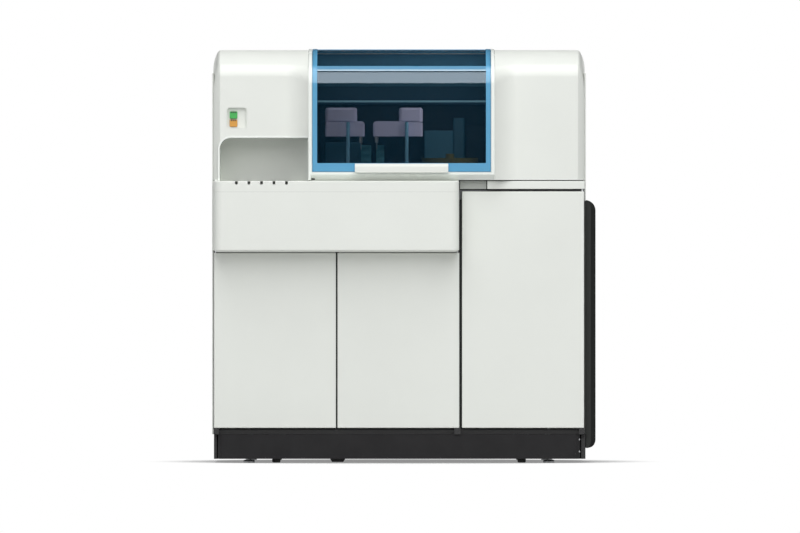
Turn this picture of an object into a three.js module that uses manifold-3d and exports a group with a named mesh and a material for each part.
// A floor-standing chemistry analyzer: a cabinet with three doors, a loading ledge and a tinted hatch.
// Millimetres, +Z up, the front faces -Y. The origin is on the floor, in the middle of the outer box.
import * as THREE from 'three';
import { mergeVertices } from 'three/addons/utils/BufferGeometryUtils.js';
import Module from 'manifold-3d';

const wasm = await Module();
wasm.setup();

// Driving dimensions. Those named here are free, and every other place is worked out from them.
const fit = 0.3;
const runningGap = 0.5;
const overrun = 6;
const weld = 0.0001;
const sheet = 4;

const cabinet = {
  width: 1206,
  depth: 1130,
  height: 1338,
  sideSheet: 4.7,
  rearSheet: 5,
  sideDrop: 80,
};

const plinth = {
  floorGap: 13,
  height: 79,
  setback: 7,
  sideInset: 14,
  flange: 30,
  rearInset: 25,
  cornerRadius: 18,
};

const door = {
  thickness: 20,
  floorHeight: 113,
  lowHeight: 565,
  gap: 5,
  rightGap: 8.7,
  edgeGap: 1,
  edgeRadius: 4,
  pivotInset: 6,
  rodRadius: 3,
  middleShare: -0.33333,
  rightShare: 0.32985,
  seat: 11.7,
};

const ledge = {
  projection: 100,
  rightGap: 5.3,
  doorGap: 2.3,
  shellHeight: 193.9,
  capHeight: 34.5,
  leftRadius: 29,
  rightRadius: 22,
  bottomRadius: 8,
  topRadius: 3,
};

const lane = { count: 5, pitch: 40.35, middleShare: 0.4816, notchWidth: 8.5, notchDepth: 11 };
const tray = { rib: 3, floor: 3, topGap: 4, sideGap: 1 };

const alcove = { inset: 20, heightShare: 0.33135, depth: 180, radius: 36, lip: 1 };
const pocket = {
  inset: 22.4,
  width: 64.9,
  bottomShare: 0.39763,
  topShare: 0.55772,
  radius: 10,
  depth: 12,
  wall: 2,
};
const button = {
  width: 24,
  heightShare: 0.33531,
  radius: 2.5,
  left: 9.7,
  greenShare: 0.20623,
  orangeShare: 0.59792,
  proud: 7,
  flangeShare: 0.36842,
  flangeThickness: 1.5,
  notchWidth: 1.8,
  notchHeight: 2.6,
  notchDepth: 1,
  notchPitch: 5.5,
};

// The curve from the front over the top: a tight nose, then a long brow, then flat
const cover = { bottomGap: 4, drop: 4, nose: 50, brow: 341, cornerRadius: 21, run: 415 };
const surround = {
  leftShare: -0.48657,
  rightShare: 0.51376,
  bulge: 45,
  nose: 70,
  brow: 410,
  band: 60,
  edgeRadius: 5,
};
const fairing = { width: 72, rise: 38 };
const turn = THREE.MathUtils.degToRad(60);
const seamGap = 3.3;

const hatch = {
  border: 14,
  sillHeight: 26.5,
  thickness: 12,
  gap: 1.5,
  seat: 7,
  sideBand: 15.5,
  bottomBand: 27.7,
  rearBand: 22,
  crossDrop: 68.5,
  crossHeight: 11,
  faceLayer: 3,
  glassThickness: 4,
  hingeBehindFront: 390,
  hingeRodRadius: 2.9,
  rodSeat: 8,
};
const sillGroove = { up: 9, height: 7, depth: 4 };
const handle = {
  leftShare: -0.23615,
  rightShare: 0.26368,
  rise: 26.5,
  drop: 3.5,
  reach: 20,
  lip: 8,
  root: 16,
};

const base = { thickness: 16, lugHalf: 10 };
const shelf = { drop: 29, thickness: 10, lip: 20, lipSheet: 6 };
const upperRail = 30;
const hoseBlock = {
  middleShare: -0.32836,
  topHalf: 24.5,
  bottomHalf: 18,
  floorGap: 3,
  shoulder: 10,
  setback: 41,
  depth: 40,
};
const waist = { coverGap: 3, height: 26, doorGap: 8, bandShare: 0.47264, bandGap: 3, fillerSetback: 20 };
const sideHousing = { projection: 33, bottom: 48, topDrop: 28, front: 40, back: 640, radius: 16 };

const caster = {
  sideInset: 201.5,
  inset: 95,
  wheelRadius: 35,
  wheelWidth: 27,
  trail: 22,
  plateHalf: 26,
  plate: 8,
  cheek: 5,
  cheekHalf: 16,
  axleRadius: 5,
};
const foot = { sideInset: 114, inset: 80, padRadius: 18.5, padHeight: 10, stemRadius: 6, stemRise: 6.7 };

const divider = { thickness: 10 };
const deck = { rise: 9, sideGap: 3.4, trayCover: 6, alcoveGap: 3, rear: 480 };
const backPanel = { sideGap: 7.4, behindFront: 405, sheet: 4 };
const lightBar = { bottomShare: 0.57619, height: 14, reach: 26, inset: 12 };

const arm = {
  behindFront: 205,
  bottomShare: 0.32619,
  tipShare: 0.44762,
  topShare: 0.54762,
  splitGroove: 1.5,
  halfDepth: 28,
  tipHalfDepth: 13,
  radius: 14,
  columnRadius: 6,
  columnBelow: 80,
  columnSeatShare: 0.4516,
};
const leftArm = {
  postShare: -0.27363,
  headLowShare: -0.39635,
  headHighShare: -0.22471,
  endShare: -0.18408,
};
const rightArm = {
  postShare: 0.04146,
  headLowShare: -0.01327,
  headHighShare: 0.12769,
  endShare: -0.1393,
};
const probe = { inset: 12, nozzleRadius: 6.5, nozzleLength: 20, needleRadius: 1.5, needleLength: 22 };

const disk = {
  middleShare: 0.27363,
  behindFront: 235,
  radius: 92,
  hubRadius: 26,
  bottomShare: 0.06429,
  topShare: 0.15952,
  rim: 6,
  well: 12,
  wellDepthShare: 0.45,
  wellCount: 20,
  knob: 14,
};
const rack = {
  leftShare: -0.20398,
  gapLeftShare: -0.14925,
  gapRightShare: -0.12272,
  rightShare: -0.0796,
  topShare: 0.25952,
  foot: 12,
  front: 284,
  back: 352,
  slot: 5,
  slotDepth: 3,
  slotCount: 3,
};
const photometer = {
  leftShare: 0.29187,
  rightShare: 0.35323,
  topShare: 0.47143,
  front: 345,
  back: 395,
  radius: 6,
};

const tank = {
  widthShare: 0.75567,
  depth: 420,
  height: 420,
  front: 330,
  radius: 24,
  neckRadius: 35,
  neckHeight: 40,
};
const power = {
  widthShare: 0.82521,
  depth: 360,
  height: 300,
  front: 330,
  slotCount: 6,
  slot: 12,
  slotDepth: 4,
};
const pump = {
  widthShare: 0.70158,
  depth: 380,
  height: 260,
  front: 330,
  motorRadius: 70,
  motorHeight: 150,
};

const circleSides = 28;
const fineSides = 16;
const arcSteps = 5;
const curveSteps = 6;

// Levels and planes that follow from the driving dimensions
const rearY = cabinet.depth / 2;
const ledgeFrontY = -rearY;
const frontY = ledgeFrontY + ledge.projection;
const doorBackY = frontY + door.thickness;
const frameFrontY = doorBackY + door.pivotInset;
const frameRearY = rearY - cabinet.rearSheet - fit;
const halfWidth = cabinet.width / 2;
const across = (share) => halfWidth * share;
const coverHalf = halfWidth - cabinet.sideSheet - fit;
const upperHalf = coverHalf - sheet - fit;

const plinthTop = plinth.floorGap + plinth.height;
const baseBottom = plinthTop + fit;
const baseTop = baseBottom + base.thickness;
const doorBottom = door.floorHeight;
const lowDoorTop = doorBottom + door.lowHeight;
const ledgeBottom = lowDoorTop + ledge.doorGap;
const shellTop = ledgeBottom + ledge.shellHeight;
const capBottom = shellTop + fit;
const ledgeTop = capBottom + ledge.capHeight;
const coverBottom = ledgeTop + cover.bottomGap;
const coverTop = cabinet.height - cover.drop;
const coverHeight = coverTop - coverBottom;
const waistTop = coverBottom - waist.coverGap;
const waistBottom = waistTop - waist.height;
const tallDoorTop = waistBottom - waist.doorGap;
const shelfTop = ledgeTop - shelf.drop;
const shelfBottom = shelfTop - shelf.thickness;
const deckTop = ledgeTop + deck.rise;
const roomHeight = cabinet.height - deckTop;
const alcoveHeight = coverHeight * alcove.heightShare;
const pocketBottom = coverBottom + coverHeight * pocket.bottomShare;
const pocketTop = coverBottom + coverHeight * pocket.topShare;
const pocketHeight = pocketTop - pocketBottom;
const buttonHeight = pocketHeight * button.heightShare;
const buttonGap = pocketHeight * (button.orangeShare - button.greenShare) - buttonHeight;
const sidePanelTop = cabinet.height - cabinet.sideDrop;
const armBottom = deckTop + roomHeight * arm.bottomShare;
const armTop = deckTop + roomHeight * arm.topShare;
const armTipTop = deckTop + roomHeight * arm.tipShare;
const columnTop = armBottom + (armTop - armBottom) * arm.columnSeatShare;
const diskBottom = deckTop + roomHeight * disk.bottomShare;
const diskTop = deckTop + roomHeight * disk.topShare;
const rackTop = deckTop + roomHeight * rack.topShare;

const doorLineLeft = across(door.middleShare);
const doorLineRight = across(door.rightShare);
const ledgeRight = doorLineRight - ledge.rightGap;
const surroundLeft = across(surround.leftShare);
const surroundRight = across(surround.rightShare);
const sideInner = halfWidth - cabinet.sideSheet;
const alcoveBackY = frontY + alcove.depth;
const alcoveLeft = -coverHalf + alcove.inset;
const alcoveRight = surroundLeft - fit - sheet;
const laneMiddle = alcoveLeft + (alcoveRight - alcoveLeft) * lane.middleShare;
const pocketLeft = alcoveLeft + pocket.inset;
const pocketRight = pocketLeft + pocket.width;
const deckLeft = surroundLeft + deck.sideGap;
const bandLeft = across(waist.bandShare);
const casterAcross = coverHalf - caster.sideInset;
const footAcross = coverHalf - foot.sideInset;
const armY = frontY + arm.behindFront;
const trayHalf = lane.count * lane.pitch / 2 + tray.rib / 2;

const hatchBottom = coverBottom + hatch.sillHeight;
const hatchLeft = surroundLeft + hatch.border;
const hatchRight = surroundRight - hatch.border;
const surroundFrontY = frontY - surround.bulge;
const hingeY = surroundFrontY + hatch.hingeBehindFront;
const hingeZ = cabinet.height - hatch.thickness / 2;
const coverBackY = frontY + cover.run;
const upperFrontY = coverBackY + fit;

// Shape helpers
const up = new THREE.Vector3(0, 0, 1);
const right = new THREE.Vector3(1, 0, 0);
const back = new THREE.Vector3(0, 1, 0);
const front = new THREE.Vector3(0, -1, 0);
const planes = {
  x: new THREE.Matrix4().makeBasis(back, up, right),
  y: new THREE.Matrix4().makeBasis(right, up, front),
  z: new THREE.Matrix4().makeBasis(right, back, up),
};

// Turns a closed three.js geometry into a solid that can be joined and cut
function solidFrom(geometry) {
  geometry.deleteAttribute('normal');
  geometry.deleteAttribute('uv');
  const merged = mergeVertices(geometry, weld);
  return new wasm.Manifold(new wasm.Mesh({
    numProp: 3,
    vertProperties: Float32Array.from(merged.attributes.position.array),
    triVerts: Uint32Array.from(merged.index.array),
  }));
}

function join(...solids) {
  return solids.reduce((whole, solid) => whole.add(solid));
}

function cut(solid, ...tools) {
  return tools.reduce((rest, tool) => rest.subtract(tool), solid);
}

function block([x0, x1], [y0, y1], [z0, z1]) {
  const geometry = new THREE.BoxGeometry(x1 - x0, y1 - y0, z1 - z0);
  geometry.translate((x0 + x1) / 2, (y0 + y1) / 2, (z0 + z1) / 2);
  return solidFrom(geometry);
}

// A closed outline in two axes, pushed along the third
function prism(axis, shape, from, to) {
  const geometry = new THREE.ExtrudeGeometry(shape, {
    depth: to - from,
    bevelEnabled: false,
    curveSegments: arcSteps,
  });
  geometry.translate(0, 0, axis === 'y' ? -to : from);
  geometry.applyMatrix4(planes[axis]);
  return solidFrom(geometry);
}

// A round bar along an axis, centred on two coordinates of the other axes
function rod(axis, [u, v], radius, from, to, sides = fineSides) {
  const geometry = new THREE.CylinderGeometry(radius, radius, to - from, sides);
  geometry.rotateX(Math.PI / 2);
  geometry.translate(u, v, axis === 'y' ? -(from + to) / 2 : (from + to) / 2);
  geometry.applyMatrix4(planes[axis]);
  return solidFrom(geometry);
}

// Corner radii run from the low corner of both axes, turning with the outline
function rounded([u0, u1], [v0, v1], radii) {
  const [a, b, c, d] = Array.isArray(radii) ? radii : [radii, radii, radii, radii];
  const shape = new THREE.Shape();
  const quarter = Math.PI / 2;
  shape.moveTo(u0 + a, v0);
  shape.lineTo(u1 - b, v0);
  if (b > 0) shape.absarc(u1 - b, v0 + b, b, -quarter, 0);
  shape.lineTo(u1, v1 - c);
  if (c > 0) shape.absarc(u1 - c, v1 - c, c, 0, quarter);
  shape.lineTo(u0 + d, v1);
  if (d > 0) shape.absarc(u0 + d, v1 - d, d, quarter, Math.PI);
  shape.lineTo(u0, v0 + a);
  if (a > 0) shape.absarc(u0 + a, v0 + a, a, Math.PI, 3 * quarter);
  return shape;
}

function polygon(points) {
  return new THREE.Shape(points.map(([u, v]) => new THREE.Vector2(u, v)));
}

// Skins a row of outlines that have the same number of points, each at its own place along the axis
function loft(axis, sections) {
  const count = sections[0].outline.length;
  const positions = [];
  const triangles = [];
  for (const { at, outline } of sections) {
    for (const [u, v] of outline) {
      positions.push(...new THREE.Vector3(u, v, at).applyMatrix4(planes[axis]).toArray());
    }
  }
  for (let ring = 0; ring + 1 < sections.length; ring += 1) {
    for (let i = 0; i < count; i += 1) {
      const a = ring * count + i;
      const b = ring * count + (i + 1) % count;
      triangles.push(a, b, b + count, a, b + count, a + count);
    }
  }
  const flat = (section) => section.outline.map(([u, v]) => new THREE.Vector2(u, v));
  for (const [p, q, r] of THREE.ShapeUtils.triangulateShape(flat(sections[0]), [])) {
    triangles.push(r, q, p);
  }
  const last = (sections.length - 1) * count;
  for (const [p, q, r] of THREE.ShapeUtils.triangulateShape(flat(sections.at(-1)), [])) {
    triangles.push(last + p, last + q, last + r);
  }
  const geometry = new THREE.BufferGeometry();
  geometry.setAttribute('position', new THREE.Float32BufferAttribute(positions, 3));
  geometry.setIndex(triangles);
  return solidFrom(geometry);
}

const analyzer = new THREE.Group();
analyzer.position.x = -sideHousing.projection / 2;

function piece(name, solid, color, roughness = 0.5, metalness = 0) {
  const { vertProperties, triVerts, numProp } = solid.getMesh();
  const geometry = new THREE.BufferGeometry();
  const points = [];
  for (let i = 0; i < vertProperties.length; i += numProp) {
    points.push(vertProperties[i], vertProperties[i + 1], vertProperties[i + 2]);
  }
  geometry.setAttribute('position', new THREE.Float32BufferAttribute(points, 3));
  geometry.setIndex([...triVerts]);
  const mesh = new THREE.Mesh(geometry, new THREE.MeshStandardMaterial({ color, roughness, metalness }));
  mesh.name = name;
  analyzer.add(mesh);
  return mesh;
}

const colors = {
  shell: 0xe7eae4,
  blue: 0x5fa8d7,
  glass: 0x19324a,
  plinth: 0x2f2f31,
  black: 0x2a2a2a,
  grey: 0xa4a49c,
  steel: 0xb4b6b8,
  frame: 0x6a6d70,
  green: 0x46af55,
  orange: 0xd79b46,
  violet: 0x5f5f82,
  teal: 0x3f7f80,
  olive: 0x8a865a,
  white: 0xf2f3f1,
};

// The outline of a hood seen from its left end, set in from the outer face by the given amount
function hoodOutline(hood, inset, bottom, backY) {
  const spring = hood.top - hood.nose * Math.sin(turn) - hood.brow * (1 - Math.sin(turn));
  const meet = Math.PI - turn;
  const noseY = hood.front + hood.nose;
  const browY = noseY + (hood.nose - hood.brow) * Math.cos(meet);
  const browZ = spring + (hood.nose - hood.brow) * Math.sin(meet);
  const points = [[hood.front + inset, bottom], [backY, bottom], [backY, hood.top - inset]];
  for (let step = 0; step <= curveSteps; step += 1) {
    const angle = Math.PI / 2 + (meet - Math.PI / 2) * step / curveSteps;
    const radius = hood.brow - inset;
    points.push([browY + radius * Math.cos(angle), browZ + radius * Math.sin(angle)]);
  }
  for (let step = 1; step <= curveSteps; step += 1) {
    const angle = meet + (Math.PI - meet) * step / curveSteps;
    const radius = hood.nose - inset;
    points.push([noseY + radius * Math.cos(angle), spring + radius * Math.sin(angle)]);
  }
  return points;
}

const coverHood = { front: frontY, top: coverTop, nose: cover.nose, brow: cover.brow };
const surroundHood = {
  front: surroundFrontY,
  top: cabinet.height,
  nose: surround.nose,
  brow: surround.brow,
};

// Part of the way from the cover's curve to the surround's, with the cover's height
function fairedHood(share) {
  const blend = (from, to) => from + (to - from) * share;
  return {
    front: blend(coverHood.front, surroundHood.front),
    top: coverHood.top,
    nose: blend(coverHood.nose, surroundHood.nose),
    brow: blend(coverHood.brow, surroundHood.brow),
  };
}

// A cover from its outer side to the surround: a round outer corner, a straight run and the fairing.
// side is -1 for the left cover and 1 for the right one.
function coverSolid(side, inset, bottom, backY, endReach) {
  const inner = (side < 0 ? surroundLeft - fit : surroundRight + fit);
  const span = Math.abs(side * coverHalf - inner);
  const radius = cover.cornerRadius - inset;
  const fullShare = fairing.rise / surround.bulge;
  const stations = [];
  for (let step = 0; step <= curveSteps; step += 1) {
    const angle = Math.PI / 2 * step / curveSteps;
    stations.push({
      depth: inset + radius * (1 - Math.cos(angle)),
      outline: hoodOutline(coverHood, inset + radius * (1 - Math.sin(angle)), bottom, backY),
    });
  }
  for (let step = 0; step <= curveSteps; step += 1) {
    const share = step / curveSteps;
    stations.push({
      depth: span - fairing.width * (1 - share),
      outline: hoodOutline(fairedHood(fullShare * share * share), inset, bottom, backY),
    });
  }
  if (endReach > 0) {
    stations.push({ depth: span + endReach, outline: stations.at(-1).outline });
  }
  const sections = stations.map(({ depth, outline }) => ({ at: side * (coverHalf - depth), outline }));
  return loft('x', side < 0 ? sections : sections.reverse());
}

// The space in front of and above a layer of the surround's curve, between two sides
function hoodBlock(inset, [x0, x1], bottom, backY) {
  return prism('x', polygon(hoodOutline(surroundHood, inset, bottom, backY)), x0, x1);
}

function hoodLayer(outer, inner, [x0, x1], bottom, backY) {
  const whole = hoodBlock(outer, [x0, x1], bottom, backY);
  return whole.subtract(hoodBlock(inner, [x0 - overrun, x1 + overrun], bottom - overrun, backY + overrun));
}

// Where each door ends and where its rod stands
const doors = {
  left: {
    span: [-coverHalf + door.edgeGap, doorLineLeft - door.gap / 2],
    pivot: -coverHalf + door.edgeGap + door.pivotInset,
    top: lowDoorTop,
    rodTop: ledgeBottom + sheet,
  },
  middle: {
    span: [doorLineLeft + door.gap / 2, doorLineRight - door.rightGap / 2],
    pivot: doorLineRight - door.rightGap / 2 - door.pivotInset,
    top: lowDoorTop,
    rodTop: ledgeBottom + sheet,
  },
  right: {
    span: [doorLineRight + door.rightGap / 2, coverHalf - door.edgeGap],
    pivot: coverHalf - door.edgeGap - door.pivotInset,
    top: tallDoorTop,
    rodTop: waistBottom + door.seat,
  },
};
const pivotY = frontY + door.pivotInset;
const lugTop = doorBottom - fit;
const rodBottom = lugTop - door.seat;
const cornerSigns = [[-1, -1], [1, -1], [-1, 1], [1, 1]];
const cornerNames = ['front_left', 'front_right', 'rear_left', 'rear_right'];

function hingeHole({ pivot, rodTop }) {
  return rod('z', [pivot, pivotY], door.rodRadius + fit, rodBottom - fit, rodTop + fit);
}

// The middle of a foot or caster at one corner of the base
function cornerPlace([alongX, alongY], across, inset) {
  return [alongX * across, alongY < 0 ? frontY + inset : rearY - inset];
}

function makeBase() {
  let solid = block([-coverHalf, coverHalf], [frameFrontY, frameRearY], [baseBottom, baseTop]);
  for (const { pivot } of Object.values(doors)) {
    const lug = block(
      [Math.max(pivot - base.lugHalf, -coverHalf), Math.min(pivot + base.lugHalf, coverHalf)],
      [frontY, frameFrontY + overrun],
      [baseBottom, lugTop],
    );
    solid = solid.add(lug);
  }
  for (const each of Object.values(doors)) solid = solid.subtract(hingeHole(each));
  const { topHalf, bottomHalf, floorGap, shoulder } = hoseBlock;
  const middle = across(hoseBlock.middleShare);
  const outline = polygon([
    [middle - bottomHalf, floorGap],
    [middle + bottomHalf, floorGap],
    [middle + topHalf, floorGap + shoulder],
    [middle + topHalf, baseTop],
    [middle - topHalf, baseTop],
    [middle - topHalf, floorGap + shoulder],
  ]);
  const blockFrontY = frontY + hoseBlock.setback;
  solid = solid.add(prism('y', outline, blockFrontY, blockFrontY + hoseBlock.depth));
  for (const corner of cornerSigns) {
    const place = cornerPlace(corner, footAcross, foot.inset);
    solid = solid.subtract(rod('z', place, foot.stemRadius + fit, baseBottom - overrun, baseTop + overrun));
  }
  piece('base_plate', solid, colors.frame, 0.6, 0.6);
}

function makePlinth() {
  const half = coverHalf - plinth.sideInset;
  const span = [-half, half];
  const depth = [frontY + plinth.setback, rearY - plinth.rearInset];
  const shrink = ([low, high], by) => [low + by, high - by];
  const outer = prism('z', rounded(span, depth, plinth.cornerRadius), plinth.floorGap, plinthTop);
  const hollow = prism(
    'z',
    rounded(shrink(span, sheet), shrink(depth, sheet), plinth.cornerRadius - sheet),
    plinth.floorGap - overrun,
    plinthTop - sheet,
  );
  const window = block(
    shrink(span, plinth.flange),
    shrink(depth, plinth.flange),
    [plinth.floorGap, plinthTop + overrun],
  );
  piece('plinth_skirt', cut(outer, hollow, window), colors.plinth, 0.55);
}

function makeCaster(corner, name) {
  const [x, y] = cornerPlace(corner, casterAcross, caster.inset);
  const axleY = y + caster.trail;
  const wheelHalf = caster.wheelWidth / 2;
  const cheekInner = wheelHalf + runningGap;
  const cheekOuter = cheekInner + caster.cheek;
  const plate = block(
    [x - caster.plateHalf, x + caster.plateHalf],
    [y - caster.plateHalf, y + caster.plateHalf],
    [plinthTop - caster.plate, plinthTop],
  );
  const cheekOutline = polygon([
    [axleY - caster.cheekHalf / 2, caster.wheelRadius - caster.axleRadius * 2],
    [axleY + caster.cheekHalf / 2, caster.wheelRadius - caster.axleRadius * 2],
    [axleY + caster.cheekHalf / 2, plinthTop - caster.plate * 2],
    [y + caster.plateHalf, plinthTop - caster.plate / 2],
    [y - caster.cheekHalf, plinthTop - caster.plate / 2],
  ]);
  const cheekLows = [x - cheekOuter, x + cheekInner];
  const cheeks = cheekLows.map((low) => prism('x', cheekOutline, low, low + caster.cheek));
  const centre = [axleY, caster.wheelRadius];
  const axleHalf = cheekInner + caster.cheek / 2;
  const axle = rod('x', centre, caster.axleRadius, x - axleHalf, x + axleHalf);
  piece(`caster_fork_${name}`, join(plate, ...cheeks, axle), colors.steel, 0.4, 0.9);
  const tyre = rod('x', centre, caster.wheelRadius, x - wheelHalf, x + wheelHalf, circleSides);
  const boreHalf = wheelHalf + overrun;
  const bore = rod('x', centre, caster.axleRadius + runningGap, x - boreHalf, x + boreHalf);
  piece(`caster_wheel_${name}`, tyre.subtract(bore), colors.black, 0.7);
}

function makeFoot(corner, name) {
  const place = cornerPlace(corner, footAcross, foot.inset);
  const pad = rod('z', place, foot.padRadius, 0, foot.padHeight, circleSides);
  const stem = rod('z', place, foot.stemRadius, foot.padHeight / 2, baseTop + foot.stemRise);
  piece(`levelling_foot_${name}`, join(pad, stem), colors.steel, 0.4, 0.8);
}

function makeCarcass() {
  for (const [name, side] of [['left', -1], ['right', 1]]) {
    const span = [side * sideInner, side * halfWidth].sort((a, b) => a - b);
    const panel = block(span, [frameFrontY, rearY], [baseBottom, sidePanelTop]);
    piece(`side_panel_${name}`, panel, colors.shell, 0.45);
  }
  const rearPanel = block(
    [-coverHalf, coverHalf],
    [rearY - cabinet.rearSheet, rearY],
    [baseBottom, coverTop - sheet - fit],
  );
  piece('rear_panel', rearPanel, colors.shell, 0.5);

  const roof = block(
    [-halfWidth, halfWidth],
    [coverBackY + seamGap, rearY],
    [sidePanelTop + fit, coverTop],
  );
  const underRoof = block(
    [-sideInner, sideInner],
    [coverBackY, rearY + overrun],
    [sidePanelTop - overrun, coverTop - sheet],
  );
  piece('top_panel', roof.subtract(underRoof), colors.shell, 0.45);

  const underRoofZ = coverTop - sheet - fit;
  const railBar = block(
    [-coverHalf, coverHalf],
    [upperFrontY, upperFrontY + upperRail],
    [underRoofZ - upperRail, underRoofZ],
  );
  piece('upper_rail', railBar, colors.frame, 0.5, 0.7);

  for (const [name, middle] of [['left', doorLineLeft], ['right', doorLineRight]]) {
    const wall = block(
      [middle - divider.thickness / 2, middle + divider.thickness / 2],
      [frameFrontY + shelf.lipSheet + fit, frameRearY],
      [baseTop + fit, shelfBottom - fit],
    );
    piece(`cabinet_divider_${name}`, wall, colors.grey, 0.5, 0.4);
  }
}

function columnHoles(bottom, top) {
  return [leftArm, rightArm].map(({ postShare }) => rod(
    'z',
    [across(postShare), armY],
    arm.columnRadius + runningGap,
    bottom - overrun,
    top + overrun,
  ));
}

function makeShelfAndDeck() {
  const plate = block([-coverHalf, coverHalf], [frameFrontY, frameRearY], [shelfBottom, shelfTop]);
  const lip = block(
    [-coverHalf, coverHalf],
    [frameFrontY, frameFrontY + shelf.lipSheet],
    [shelfBottom - shelf.lip, shelfTop],
  );
  const shelfSolid = cut(join(plate, lip), ...columnHoles(shelfBottom, shelfTop));
  piece('middle_shelf', shelfSolid, colors.frame, 0.5, 0.6);

  const deckRearY = frontY + deck.rear;
  const deckSlab = block([deckLeft, upperHalf], [frameFrontY, deckRearY], [shelfTop + fit, deckTop]);
  const trayRoof = block(
    [-upperHalf, deckLeft + overrun],
    [alcoveBackY + sheet + deck.alcoveGap, deckRearY],
    [deckTop - deck.trayCover, deckTop],
  );
  const deckSolid = cut(join(deckSlab, trayRoof), ...columnHoles(shelfTop, deckTop));
  piece('deck_plate', deckSolid, colors.frame, 0.5, 0.5);
}

function makeDoors() {
  for (const [name, each] of Object.entries(doors)) {
    const radii = [door.edgeRadius, door.edgeRadius, 0, 0];
    const panel = prism('z', rounded(each.span, [frontY, doorBackY], radii), doorBottom, each.top);
    const boreRadius = door.rodRadius + runningGap;
    const bore = rod('z', [each.pivot, pivotY], boreRadius, doorBottom - overrun, each.top + overrun);
    piece(`door_${name}`, panel.subtract(bore), colors.shell, 0.4);
    const pin = rod('z', [each.pivot, pivotY], door.rodRadius, rodBottom, each.rodTop);
    piece(`door_rod_${name}`, pin, colors.steel, 0.3, 0.9);
  }
}

// The plan of the ledge, with round front corners, set in by the given amount
function ledgePlan(inset, backY) {
  const [x0, x1, y0] = [-coverHalf + inset, ledgeRight - inset, ledgeFrontY + inset];
  const corners = [
    [ledge.leftRadius - inset, x0, 1, Math.PI],
    [ledge.rightRadius - inset, x1, -1, 1.5 * Math.PI],
  ];
  const points = [];
  for (const [radius, edge, inward, start] of corners) {
    for (let step = 0; step <= curveSteps; step += 1) {
      const angle = start + Math.PI / 2 * step / curveSteps;
      points.push([
        edge + inward * radius + radius * Math.cos(angle),
        y0 + radius + radius * Math.sin(angle),
      ]);
    }
  }
  points.push([x1, backY], [x0, backY]);
  return points;
}

function makeLedge() {
  const backY = frameFrontY - fit;
  const sections = [];
  for (let step = 0; step <= arcSteps; step += 1) {
    const angle = Math.PI / 2 * step / arcSteps;
    sections.push({
      at: ledgeBottom + ledge.bottomRadius * (1 - Math.cos(angle)),
      outline: ledgePlan(ledge.bottomRadius * (1 - Math.sin(angle)), backY),
    });
  }
  sections.push({ at: shellTop, outline: ledgePlan(0, backY) });
  const shellHollow = prism(
    'z',
    polygon(ledgePlan(sheet, backY + overrun)),
    ledgeBottom + sheet,
    shellTop + overrun,
  );
  const shell = cut(loft('z', sections), shellHollow, hingeHole(doors.left), hingeHole(doors.middle));
  piece('ledge_shell', shell, colors.shell, 0.4);

  const capSections = [{ at: capBottom, outline: ledgePlan(0, backY) }];
  for (let step = 0; step <= arcSteps; step += 1) {
    const angle = Math.PI / 2 * step / arcSteps;
    capSections.push({
      at: ledgeTop - ledge.topRadius * (1 - Math.sin(angle)),
      outline: ledgePlan(ledge.topRadius * (1 - Math.cos(angle)), backY),
    });
  }
  const capHollow = prism(
    'z',
    polygon(ledgePlan(sheet, backY + overrun)),
    capBottom - overrun,
    ledgeTop - sheet,
  );
  const alcoveFloor = block(
    [alcoveLeft - sheet, alcoveRight + sheet],
    [backY - overrun, alcoveBackY],
    [ledgeTop - sheet, ledgeTop],
  );
  const trayWell = block(
    [laneMiddle - trayHalf - tray.sideGap, laneMiddle + trayHalf + tray.sideGap],
    [ledgeFrontY + sheet, alcoveBackY + overrun],
    [capBottom, ledgeTop + overrun],
  );
  const notches = laneMiddles().map((middle) => prism(
    'y',
    rounded(
      [middle - lane.notchWidth / 2, middle + lane.notchWidth / 2],
      [ledgeTop - lane.notchDepth, ledgeTop + overrun],
      [lane.notchWidth / 3, lane.notchWidth / 3, 0, 0],
    ),
    ledgeFrontY - overrun,
    ledgeFrontY + sheet + overrun,
  ));
  const cap = cut(join(loft('z', capSections).subtract(capHollow), alcoveFloor), trayWell, ...notches);
  piece('ledge_cap', cap, colors.shell, 0.4);
}

function laneMiddles() {
  const first = laneMiddle - (lane.count - 1) * lane.pitch / 2;
  return Array.from({ length: lane.count }, (_, index) => first + index * lane.pitch);
}

function makeTray() {
  const depth = [ledgeFrontY + sheet + tray.sideGap, alcoveBackY - tray.sideGap];
  const height = [shelfTop + fit, ledgeTop - tray.topGap];
  let solid = block([laneMiddle - trayHalf, laneMiddle + trayHalf], depth, height);
  for (const middle of laneMiddles()) {
    const half = (lane.pitch - tray.rib) / 2;
    const channel = block(
      [middle - half, middle + half],
      [depth[0] - overrun, depth[1] + overrun],
      [height[0] + tray.floor, height[1] + overrun],
    );
    solid = solid.subtract(channel);
  }
  piece('loading_tray', solid, colors.black, 0.5);
}

// The mouth of the alcove with its round upper left corner, let out by the given amount
function alcoveOutline(by) {
  const radii = [0, 0, 0, alcove.radius + by];
  const top = coverBottom + alcoveHeight - sheet;
  return rounded([alcoveLeft - by, alcoveRight + by], [ledgeTop + fit, top + by], radii);
}

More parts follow.
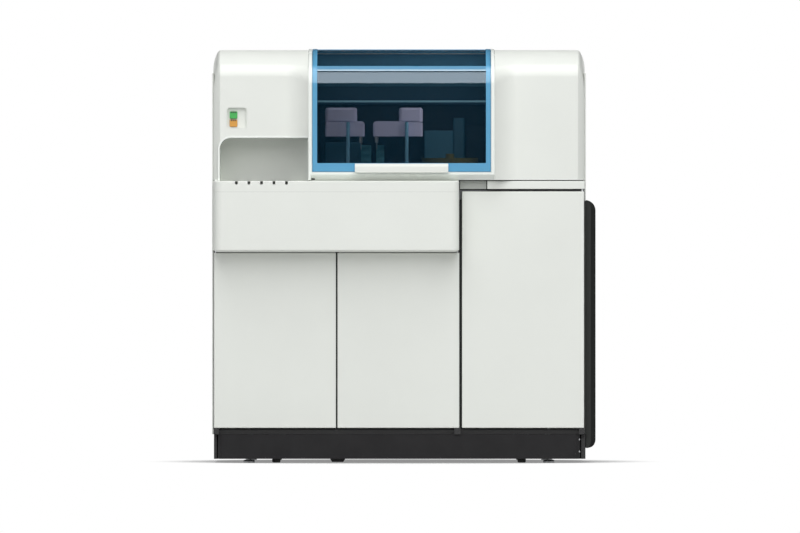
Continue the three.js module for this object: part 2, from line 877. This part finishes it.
function makeCovers() {
  const leftShell = cut(
    coverSolid(-1, 0, coverBottom, coverBackY, 0),
    coverSolid(-1, sheet, coverBottom - overrun, coverBackY + overrun, overrun),
  );
  const frontBand = [surroundFrontY - overrun, frontY + cover.cornerRadius + sheet];
  const mouth = block(
    [alcoveRight, surroundLeft + overrun],
    frontBand,
    [coverBottom - overrun, coverBottom + alcoveHeight + fit],
  );
  const pocketMouth = prism(
    'y',
    rounded(
      [pocketLeft - fit, pocketRight + fit],
      [pocketBottom - fit, pocketTop + fit],
      pocket.radius + fit,
    ),
    ...frontBand,
  );
  const alcoveMouth = prism('y', alcoveOutline(sheet + fit), ...frontBand);
  const coverLeft = cut(leftShell, alcoveMouth, mouth, pocketMouth);
  piece('upper_cover_left', coverLeft, colors.shell, 0.4);

  const coverRight = cut(
    coverSolid(1, 0, coverBottom, coverBackY, 0),
    coverSolid(1, sheet, coverBottom - overrun, coverBackY + overrun, overrun),
  );
  piece('upper_cover_right', coverRight, colors.shell, 0.4);

  const depth = [surroundFrontY - overrun, alcoveBackY + sheet];
  const linerOuter = prism('y', alcoveOutline(sheet), ...depth);
  const linerInner = prism('y', alcoveOutline(0), depth[0] - overrun, alcoveBackY);
  const floorCut = block(
    [alcoveLeft, alcoveRight],
    [depth[0] - overrun, alcoveBackY],
    [ledgeTop - overrun, coverBottom + overrun],
  );
  const coverEnvelope = coverSolid(-1, -alcove.lip, ledgeTop, coverBackY, 0);
  const liner = cut(linerOuter.intersect(coverEnvelope), linerInner, floorCut);
  piece('alcove_liner', liner, colors.grey, 0.5);
}

function buttonMiddles() {
  const x = pocketLeft + button.left;
  return [
    ['green_button', x, pocketTop - pocketHeight * button.greenShare, colors.green],
    ['orange_button', x, pocketTop - pocketHeight * button.orangeShare, colors.orange],
  ];
}

function makeButtons() {
  const floorY = frontY + pocket.depth;
  let panel = prism(
    'y',
    rounded([pocketLeft, pocketRight], [pocketBottom, pocketTop], pocket.radius),
    frontY,
    floorY + pocket.wall,
  );
  panel = panel.subtract(prism(
    'y',
    rounded(
      [pocketLeft + pocket.wall, pocketRight - pocket.wall],
      [pocketBottom + pocket.wall, pocketTop - pocket.wall],
      pocket.radius - pocket.wall,
    ),
    frontY - overrun,
    floorY,
  ));
  const frontOfButton = floorY - button.proud;
  const flangeY = floorY + pocket.wall + fit;
  const reach = buttonGap * button.flangeShare;
  for (const [name, x, top, color] of buttonMiddles()) {
    const span = [x, x + button.width];
    const height = [top - buttonHeight, top];
    const grow = ([low, high], by) => [low - by, high + by];
    panel = panel.subtract(prism(
      'y',
      rounded(grow(span, runningGap), grow(height, runningGap), button.radius + runningGap),
      floorY - overrun,
      floorY + pocket.wall + overrun,
    ));
    let cap = join(
      prism('y', rounded(span, height, button.radius), frontOfButton, flangeY + button.flangeThickness),
      block(grow(span, reach), [flangeY, flangeY + button.flangeThickness], grow(height, reach)),
    );
    for (const shift of [-1, 0, 1]) {
      const middle = x + button.width / 2 + shift * button.notchPitch;
      cap = cap.subtract(block(
        [middle - button.notchWidth / 2, middle + button.notchWidth / 2],
        [frontOfButton - overrun, frontOfButton + button.notchDepth],
        [top - button.notchHeight, top + overrun],
      ));
    }
    piece(name, cap, color, 0.45);
  }
  piece('button_panel', panel, colors.shell, 0.4);
}

function makeSurround() {
  const ends = [];
  for (let step = 0; step <= arcSteps; step += 1) {
    const angle = Math.PI / 2 * step / arcSteps;
    const inset = surround.edgeRadius * (1 - Math.sin(angle));
    ends.push({
      depth: surround.edgeRadius * (1 - Math.cos(angle)),
      outline: hoodOutline(surroundHood, inset, coverBottom, coverBackY),
    });
  }
  const sections = [
    ...ends.map(({ depth, outline }) => ({ at: surroundLeft + depth, outline })),
    ...ends.map(({ depth, outline }) => ({ at: surroundRight - depth, outline })).reverse(),
  ];
  const inside = [surroundLeft - overrun, surroundRight + overrun];
  const hollow = hoodBlock(surround.band, inside, coverBottom - overrun, coverBackY + overrun);
  const seatBackY = hingeY + hatch.thickness / 2 + hatch.gap;
  const recess = hoodLayer(
    -overrun,
    hatch.thickness + hatch.gap,
    [hatchLeft - hatch.gap, hatchRight + hatch.gap],
    hatchBottom - hatch.gap,
    seatBackY,
  );
  const opening = block(
    [hatchLeft + hatch.seat, hatchRight - hatch.seat],
    [surroundFrontY - overrun, seatBackY],
    [hatchBottom + hatch.seat, cabinet.height + overrun],
  );
  const groove = block(
    inside,
    [surroundFrontY - overrun, surroundFrontY + sillGroove.depth],
    [coverBottom + sillGroove.up, coverBottom + sillGroove.up + sillGroove.height],
  );
  const rodHole = rod(
    'x',
    [hingeY, hingeZ],
    hatch.hingeRodRadius + fit,
    hatchLeft - hatch.rodSeat - fit,
    hatchRight + hatch.rodSeat + fit,
  );
  const surroundSolid = cut(loft('x', sections), hollow, recess, opening, groove, rodHole);
  piece('window_surround', surroundSolid, colors.white, 0.35);
}

function makeHatch() {
  const span = [hatchLeft, hatchRight];
  const windowBottom = hatchBottom + hatch.bottomBand;
  const windowSpan = [hatchLeft + hatch.sideBand, hatchRight - hatch.sideBand];
  const windowBackY = hingeY - hatch.rearBand;
  const crossBottom = cabinet.height - hatch.crossDrop;
  const crossTop = crossBottom + hatch.crossHeight;
  const rebateSpan = [windowSpan[0] - hatch.seat, windowSpan[1] + hatch.seat];
  const farFront = surroundFrontY - overrun;
  const farTop = cabinet.height + overrun;

  const knuckle = rod('x', [hingeY, hingeZ], hatch.thickness / 2, ...span);
  const bore = rod(
    'x',
    [hingeY, hingeZ],
    hatch.hingeRodRadius + runningGap,
    hatchLeft - overrun,
    hatchRight + overrun,
  );
  const lowerWindow = block(windowSpan, [farFront, windowBackY], [windowBottom, crossBottom]);
  const upperWindow = block(windowSpan, [farFront, windowBackY], [crossTop, farTop]);
  const rebate = hoodLayer(
    hatch.faceLayer,
    hatch.thickness + overrun,
    rebateSpan,
    windowBottom - hatch.seat,
    windowBackY + hatch.seat,
  );
  const frame = cut(
    join(hoodLayer(0, hatch.thickness, span, hatchBottom, hingeY), knuckle),
    bore,
    lowerWindow,
    upperWindow,
    rebate,
  );
  piece('hatch_frame', frame, colors.blue, 0.35);

  const glassInset = hatch.faceLayer + fit;
  const glass = hoodLayer(
    glassInset,
    glassInset + hatch.glassThickness,
    [rebateSpan[0] + fit, rebateSpan[1] - fit],
    windowBottom - hatch.seat + fit,
    windowBackY + hatch.seat - fit,
  );
  piece('hatch_glass', glass, colors.glass, 0.08, 0.1);

  const face = surroundFrontY - fit;
  const nose = face - handle.reach;
  const handleTop = hatchBottom + handle.rise;
  const handleBottom = hatchBottom - handle.drop;
  const grip = polygon([
    [face, handleTop],
    [nose + handle.reach / 4, handleTop - handle.root / 4],
    [nose, handleTop - handle.root / 2],
    [nose, handleBottom],
    [nose + handle.lip, handleBottom],
    [nose + handle.lip, handleTop - handle.root],
    [face, handleTop - handle.root],
  ]);
  const gripSolid = prism('x', grip, across(handle.leftShare), across(handle.rightShare));
  piece('hatch_handle', gripSolid, colors.white, 0.3);

  const pin = rod(
    'x',
    [hingeY, hingeZ],
    hatch.hingeRodRadius,
    hatchLeft - hatch.rodSeat,
    hatchRight + hatch.rodSeat,
  );
  piece('hatch_rod', pin, colors.steel, 0.3, 0.9);
}

function makeWaist() {
  const height = [waistBottom, waistTop];
  const band = block([bandLeft, coverHalf], [frontY, frameFrontY - fit], height);
  piece('waist_band', band.subtract(hingeHole(doors.right)), colors.shell, 0.45);
  const filler = block(
    [ledgeRight + seamGap, bandLeft - waist.bandGap],
    [frontY + waist.fillerSetback, frameFrontY - fit],
    height,
  );
  piece('waist_filler', filler, colors.grey, 0.5);
}

function makeSideHousing() {
  const span = [halfWidth + fit, halfWidth + sideHousing.projection];
  const depth = [frontY + sideHousing.front, frontY + sideHousing.back];
  const outline = rounded(span, depth, [0, sideHousing.radius, sideHousing.radius, 0]);
  const housing = prism('z', outline, sideHousing.bottom, tallDoorTop - sideHousing.topDrop);
  piece('side_housing', housing, colors.black, 0.5);
}

function makeArm(name, { postShare, headLowShare, headHighShare, endShare }) {
  const [post, headLow, headHigh, tip] = [postShare, headLowShare, headHighShare, endShare].map(across);
  const width = (from, to) => [Math.min(from, to), Math.max(from, to)];
  const head = prism(
    'z',
    rounded([headLow, headHigh], [armY - arm.halfDepth, armY + arm.halfDepth], arm.radius),
    armBottom,
    armTop,
  );
  const nose = prism(
    'z',
    rounded(width(tip, post), [armY - arm.tipHalfDepth, armY + arm.tipHalfDepth], arm.tipHalfDepth / 2),
    armBottom,
    armTipTop,
  );
  const groove = arm.splitGroove;
  const split = block(
    [headLow - overrun, headHigh + overrun],
    [armY - arm.halfDepth - overrun, armY + arm.halfDepth + overrun],
    [armTipTop + groove, armTipTop + groove * 2],
  ).subtract(prism(
    'z',
    rounded(
      [headLow + groove, headHigh - groove],
      [armY - arm.halfDepth + groove, armY + arm.halfDepth - groove],
      arm.radius - groove,
    ),
    armBottom,
    armTop,
  ));
  const bore = rod('z', [post, armY], arm.columnRadius + fit, armBottom - overrun, columnTop + fit);
  piece(`arm_${name}`, cut(join(head, nose), split, bore), colors.violet, 0.5);
  const column = rod('z', [post, armY], arm.columnRadius, shelfTop - arm.columnBelow, columnTop);
  piece(`arm_column_${name}`, column, colors.steel, 0.3, 0.9);

  const x = tip + Math.sign(post - tip) * probe.inset;
  const nozzleBottom = armBottom - probe.nozzleLength;
  const nozzle = rod('z', [x, armY], probe.nozzleRadius, nozzleBottom, armBottom - fit);
  const needle = rod(
    'z',
    [x, armY],
    probe.needleRadius,
    nozzleBottom - probe.needleLength,
    nozzleBottom + probe.nozzleRadius,
    fineSides / 2,
  );
  piece(`probe_${name}`, join(nozzle, needle), colors.steel, 0.3, 0.8);
}

function makeDisk() {
  const centre = [across(disk.middleShare), frontY + disk.behindFront];
  const hub = rod('z', centre, disk.hubRadius, deckTop + fit, diskTop);
  const plate = rod('z', centre, disk.radius, diskBottom, diskTop, circleSides);
  const knob = rod('z', centre, disk.knob, diskBottom, diskTop + disk.knob);
  const ringRadius = disk.radius - disk.rim - disk.well / 2;
  const wellDepth = (diskTop - diskBottom) * disk.wellDepthShare;
  const wells = Array.from({ length: disk.wellCount }, (_, index) => {
    const angle = 2 * Math.PI * index / disk.wellCount;
    const place = [centre[0] + ringRadius * Math.cos(angle), centre[1] + ringRadius * Math.sin(angle)];
    return rod('z', place, disk.well / 2, diskTop - wellDepth, diskTop + overrun, fineSides / 2);
  });
  piece('reaction_disk', cut(join(hub, plate, knob), ...wells), colors.olive, 0.5);
}

function makeStations() {
  const depth = [frontY + rack.front, frontY + rack.back];
  const standing = [deckTop + fit, rackTop];
  const [rackLeft, rackRight] = [across(rack.leftShare), across(rack.rightShare)];
  let solid = join(
    block([rackLeft, rackRight], depth, [standing[0], standing[0] + rack.foot]),
    block([rackLeft, across(rack.gapLeftShare)], depth, standing),
    block([across(rack.gapRightShare), rackRight], depth, standing),
  );
  for (let index = 1; index <= rack.slotCount; index += 1) {
    const z = rackTop - index * (rackTop - deckTop) / (rack.slotCount + 2);
    solid = solid.subtract(block(
      [rackLeft - overrun, rackRight + overrun],
      [depth[0] - overrun, depth[0] + rack.slotDepth],
      [z, z + rack.slot],
    ));
  }
  piece('cuvette_rack', solid, colors.teal, 0.5);

  const towerTop = deckTop + roomHeight * photometer.topShare;
  const box = rounded(
    [across(photometer.leftShare), across(photometer.rightShare)],
    [frontY + photometer.front, frontY + photometer.back],
    photometer.radius,
  );
  piece('photometer_unit', prism('z', box, deckTop + fit, towerTop), colors.grey, 0.5);

  const wallY = frontY + backPanel.behindFront;
  const wallSpan = [surroundLeft + backPanel.sideGap, surroundRight - backPanel.sideGap];
  const wall = block(
    wallSpan,
    [wallY, wallY + backPanel.sheet],
    [deckTop + fit, cabinet.height - surround.band - fit],
  );
  piece('interior_back_panel', wall, colors.frame, 0.6);
  const barBottom = deckTop + roomHeight * lightBar.bottomShare;
  const bar = block(
    [wallSpan[0] + lightBar.inset, wallSpan[1] - lightBar.inset],
    [wallY - lightBar.reach, wallY - fit],
    [barBottom, barBottom + lightBar.height],
  );
  piece('light_bar', bar, colors.white, 0.3);
}

// A box standing on the floor of a cabinet bay, centred between the bay's walls
function bayBlock([low, high], { widthShare, depth, height, front: setback }, radius = 0) {
  const middle = (low + high) / 2;
  const width = (high - low) * widthShare;
  const outline = rounded(
    [middle - width / 2, middle + width / 2],
    [frontY + setback, frontY + setback + depth],
    radius,
  );
  const bottom = baseTop + fit;
  return {
    solid: prism('z', outline, bottom, bottom + height),
    top: bottom + height,
    width,
    middle: [middle, frontY + setback + depth / 2],
  };
}

function makeUnits() {
  const tankBody = bayBlock([-coverHalf, doorLineLeft], tank, tank.radius);
  const neckTop = tankBody.top + tank.neckHeight;
  const neck = rod('z', tankBody.middle, tank.neckRadius, tankBody.top - overrun, neckTop);
  piece('water_tank', tankBody.solid.add(neck), colors.white, 0.5);

  const powerBody = bayBlock([doorLineLeft, doorLineRight], power);
  let powerSolid = powerBody.solid;
  for (let index = 1; index <= power.slotCount; index += 1) {
    const z = powerBody.top - index * power.height / (power.slotCount + 1);
    powerSolid = powerSolid.subtract(block(
      [powerBody.middle[0] - powerBody.width / 4, powerBody.middle[0] + powerBody.width / 4],
      [frontY + power.front - overrun, frontY + power.front + power.slotDepth],
      [z, z + power.slot],
    ));
  }
  piece('power_unit', powerSolid, colors.steel, 0.5, 0.6);

  const pumpBody = bayBlock([doorLineRight, coverHalf], pump);
  const motor = rod(
    'z',
    pumpBody.middle,
    pump.motorRadius,
    pumpBody.top - overrun,
    pumpBody.top + pump.motorHeight,
    circleSides,
  );
  piece('pump_unit', pumpBody.solid.add(motor), colors.frame, 0.5, 0.3);
}

makeBase();
makePlinth();
cornerSigns.forEach((corner, index) => {
  makeCaster(corner, cornerNames[index]);
  makeFoot(corner, cornerNames[index]);
});
makeCarcass();
makeShelfAndDeck();
makeDoors();
makeLedge();
makeTray();
makeCovers();
makeButtons();
makeSurround();
makeHatch();
makeWaist();
makeSideHousing();
makeArm('left', leftArm);
makeArm('right', rightArm);
makeDisk();
makeStations();
makeUnits();

export default analyzer;
